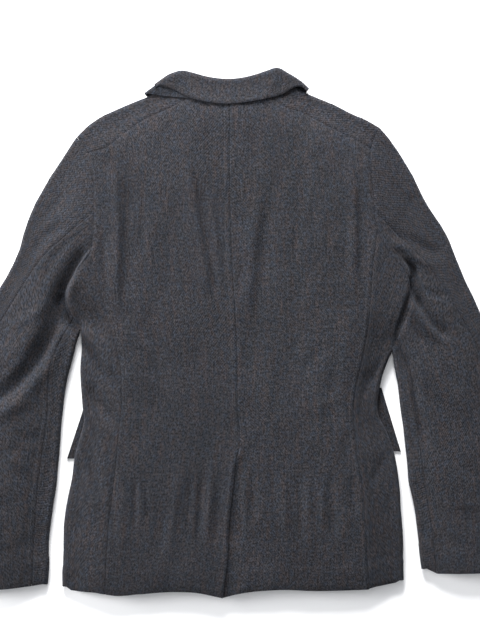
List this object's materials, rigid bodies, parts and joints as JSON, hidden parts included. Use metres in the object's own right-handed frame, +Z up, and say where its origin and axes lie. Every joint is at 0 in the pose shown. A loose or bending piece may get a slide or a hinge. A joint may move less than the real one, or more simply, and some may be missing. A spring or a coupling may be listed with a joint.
{
  "type": "blazer",
  "caption": "Tailored wool blazer lying flat and face down: back with a side-lapped vent, side panels, long sleeves in upper and under halves, turned collar, lapels and pocket flaps.",
  "frame": {"origin": "middle of the bounding box in plan, on the surface that the blazer lies on", "axes": "+X to the wearer's right across the sleeves, +Y from hem to collar, +Z up out of the surface, out of the blazer's back"},
  "size_m": [0.8408, 0.7588, 0.0252],
  "materials": {
    "wool": "matt navy and brown heathered wool, fine twill",
    "button_horn": "dark horn-like resin"
  },
  "bodies": {
    "root": {"back_left": "wool", "back_right": "wool", "button_lower": "button_horn", "button_upper": "button_horn", "flap_left": "wool", "flap_right": "wool", "front_left": "wool", "front_right": "wool", "lapel_left": "wool", "lapel_right": "wool", "side_left": "wool", "side_right": "wool", "top_collar": "wool", "top_sleeve_left": "wool", "top_sleeve_right": "wool", "under_collar": "wool", "under_sleeve_left": "wool", "under_sleeve_right": "wool"}
  },
  "joints": []
}
